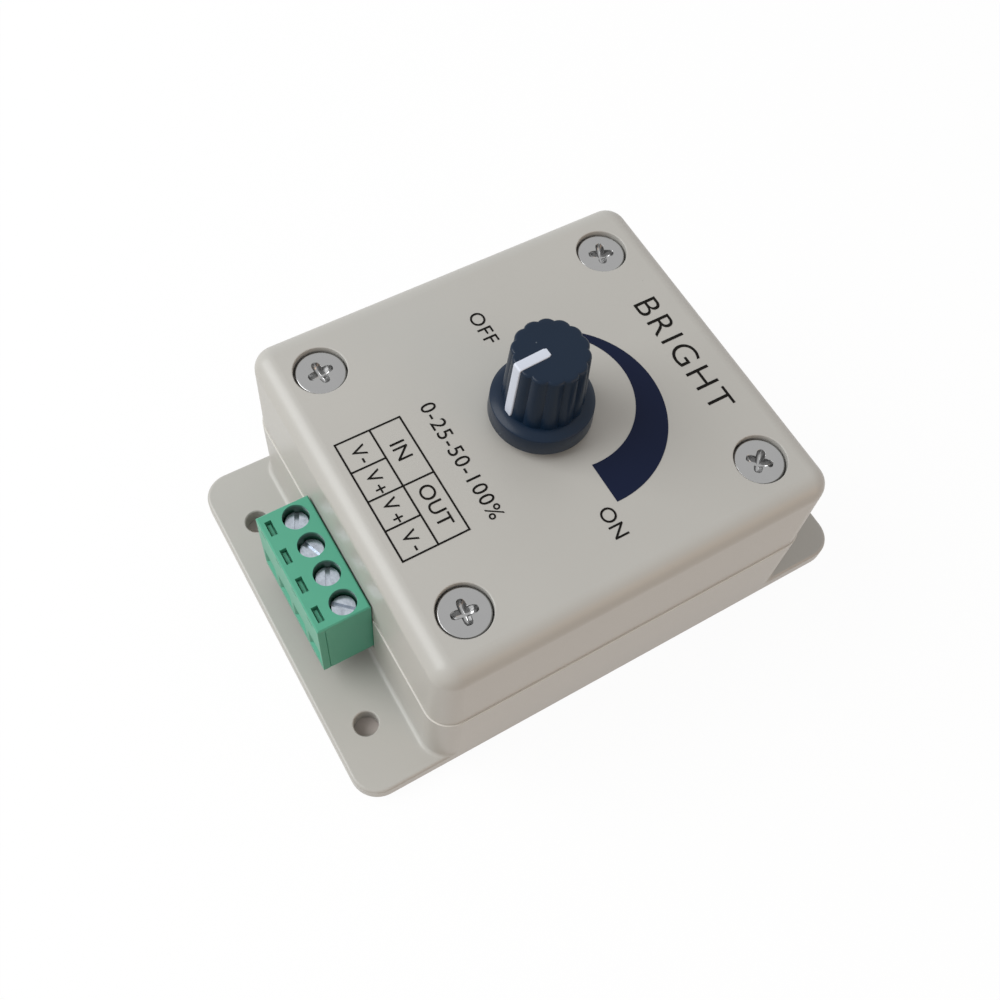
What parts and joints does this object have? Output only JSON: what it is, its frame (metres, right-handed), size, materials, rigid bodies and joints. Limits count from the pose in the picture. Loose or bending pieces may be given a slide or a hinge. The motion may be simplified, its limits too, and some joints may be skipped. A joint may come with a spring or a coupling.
{
  "type": "led dimmer switch",
  "caption": "Flanged plastic box with a fluted rotary dimmer knob on its panel and a pluggable screw terminal in one end, for low-voltage LED strips.",
  "frame": {"origin": "centre of the underside", "axes": "+X across the panel towards ON, +Y up the panel away from the terminal, +Z out of the panel along the knob's axis"},
  "size_m": [0.059, 0.0874, 0.0498],
  "materials": {
    "case_plastic": "satin",
    "knob_plastic": "satin",
    "pointer_white": "satin",
    "navy_ink": "matte",
    "black_ink": "matte",
    "terminal_green": "satin",
    "zinc_steel": "plated",
    "pot_metal": "plated",
    "contact_brass": "tinned",
    "phenolic": "matte",
    "board_laminate": "satin",
    "black_epoxy": "matte",
    "sink_aluminium": "extruded",
    "capacitor_sleeve": "gloss",
    "film_dip": "gloss",
    "resistor_coat": "satin",
    "wire_sheath": "satin"
  },
  "bodies": {
    "case": {"case_base": "case_plastic", "case_cover": "case_plastic", "case_screws": "zinc_steel", "dial_arc": "navy_ink", "legend_table": "black_ink", "pot_bushing": "pot_metal", "pot_washer": "pot_metal", "pot_nut": "pot_metal", "pot_wafer": "phenolic", "pot_can": "pot_metal", "pot_lugs": "contact_brass", "pot_wires": "wire_sheath", "circuit_board": "board_laminate", "board_screws": "zinc_steel", "header_housing": "terminal_green", "header_pins": "contact_brass", "transistor_body": "black_epoxy", "transistor_frame": "pot_metal", "heat_sink": "sink_aluminium", "heat_sink_screw": "zinc_steel", "timer_chip": "black_epoxy", "chip_legs": "contact_brass", "smoothing_capacitor": "capacitor_sleeve", "film_capacitor": "film_dip", "flyback_diode": "black_epoxy", "resistors": "resistor_coat", "regulator": "black_epoxy"},
    "dial": {"knob": "knob_plastic", "knob_pointer": "pointer_white", "pot_shaft": "pot_metal", "pot_rotor": "phenolic", "pot_wiper": "contact_brass"},
    "plug": {"plug_housing": "terminal_green", "plug_front_cover": "terminal_green", "plug_contacts": "contact_brass"},
    "screw_1": {"clamp_screw_1": "zinc_steel"},
    "cage_1": {"clamp_cage_1": "contact_brass"},
    "screw_2": {"clamp_screw_2": "zinc_steel"},
    "cage_2": {"clamp_cage_2": "contact_brass"},
    "screw_3": {"clamp_screw_3": "zinc_steel"},
    "cage_3": {"clamp_cage_3": "contact_brass"},
    "screw_4": {"clamp_screw_4": "zinc_steel"},
    "cage_4": {"clamp_cage_4": "contact_brass"}
  },
  "joints": [
    {"name": "knob_turn", "type": "hinge", "parent": "case", "child": "dial", "pos_m": [0, 0, 0.0342], "axis": [0, 0, -1], "range_deg": [0, 300]},
    {"name": "plug_pull", "type": "slide", "parent": "case", "child": "plug", "axis": [0, -1, 0], "range_m": [0, 0.012]},
    {"name": "screw_turn_1", "type": "hinge", "parent": "plug", "child": "screw_1", "pos_m": [-0.0075, -0.0351, 0.0183], "axis": [0, 0, -1], "range_deg": [0, 1440]},
    {"name": "cage_rise_1", "type": "slide", "parent": "plug", "child": "cage_1", "axis": [0, 0, 1], "range_m": [0, 0.002]},
    {"name": "screw_turn_2", "type": "hinge", "parent": "plug", "child": "screw_2", "pos_m": [-0.0025, -0.0351, 0.0183], "axis": [0, 0, -1], "range_deg": [0, 1440]},
    {"name": "cage_rise_2", "type": "slide", "parent": "plug", "child": "cage_2", "axis": [0, 0, 1], "range_m": [0, 0.002]},
    {"name": "screw_turn_3", "type": "hinge", "parent": "plug", "child": "screw_3", "pos_m": [0.0025, -0.0351, 0.0183], "axis": [0, 0, -1], "range_deg": [0, 1440]},
    {"name": "cage_rise_3", "type": "slide", "parent": "plug", "child": "cage_3", "axis": [0, 0, 1], "range_m": [0, 0.002]},
    {"name": "screw_turn_4", "type": "hinge", "parent": "plug", "child": "screw_4", "pos_m": [0.0075, -0.0351, 0.0183], "axis": [0, 0, -1], "range_deg": [0, 1440]},
    {"name": "cage_rise_4", "type": "slide", "parent": "plug", "child": "cage_4", "axis": [0, 0, 1], "range_m": [0, 0.002]}
  ],
  "couplings": [
    {"joint": "screw_turn_1", "follows": "cage_rise_1", "rad_per_m": 12566},
    {"joint": "screw_turn_2", "follows": "cage_rise_2", "rad_per_m": 12566},
    {"joint": "screw_turn_3", "follows": "cage_rise_3", "rad_per_m": 12566},
    {"joint": "screw_turn_4", "follows": "cage_rise_4", "rad_per_m": 12566}
  ]
}
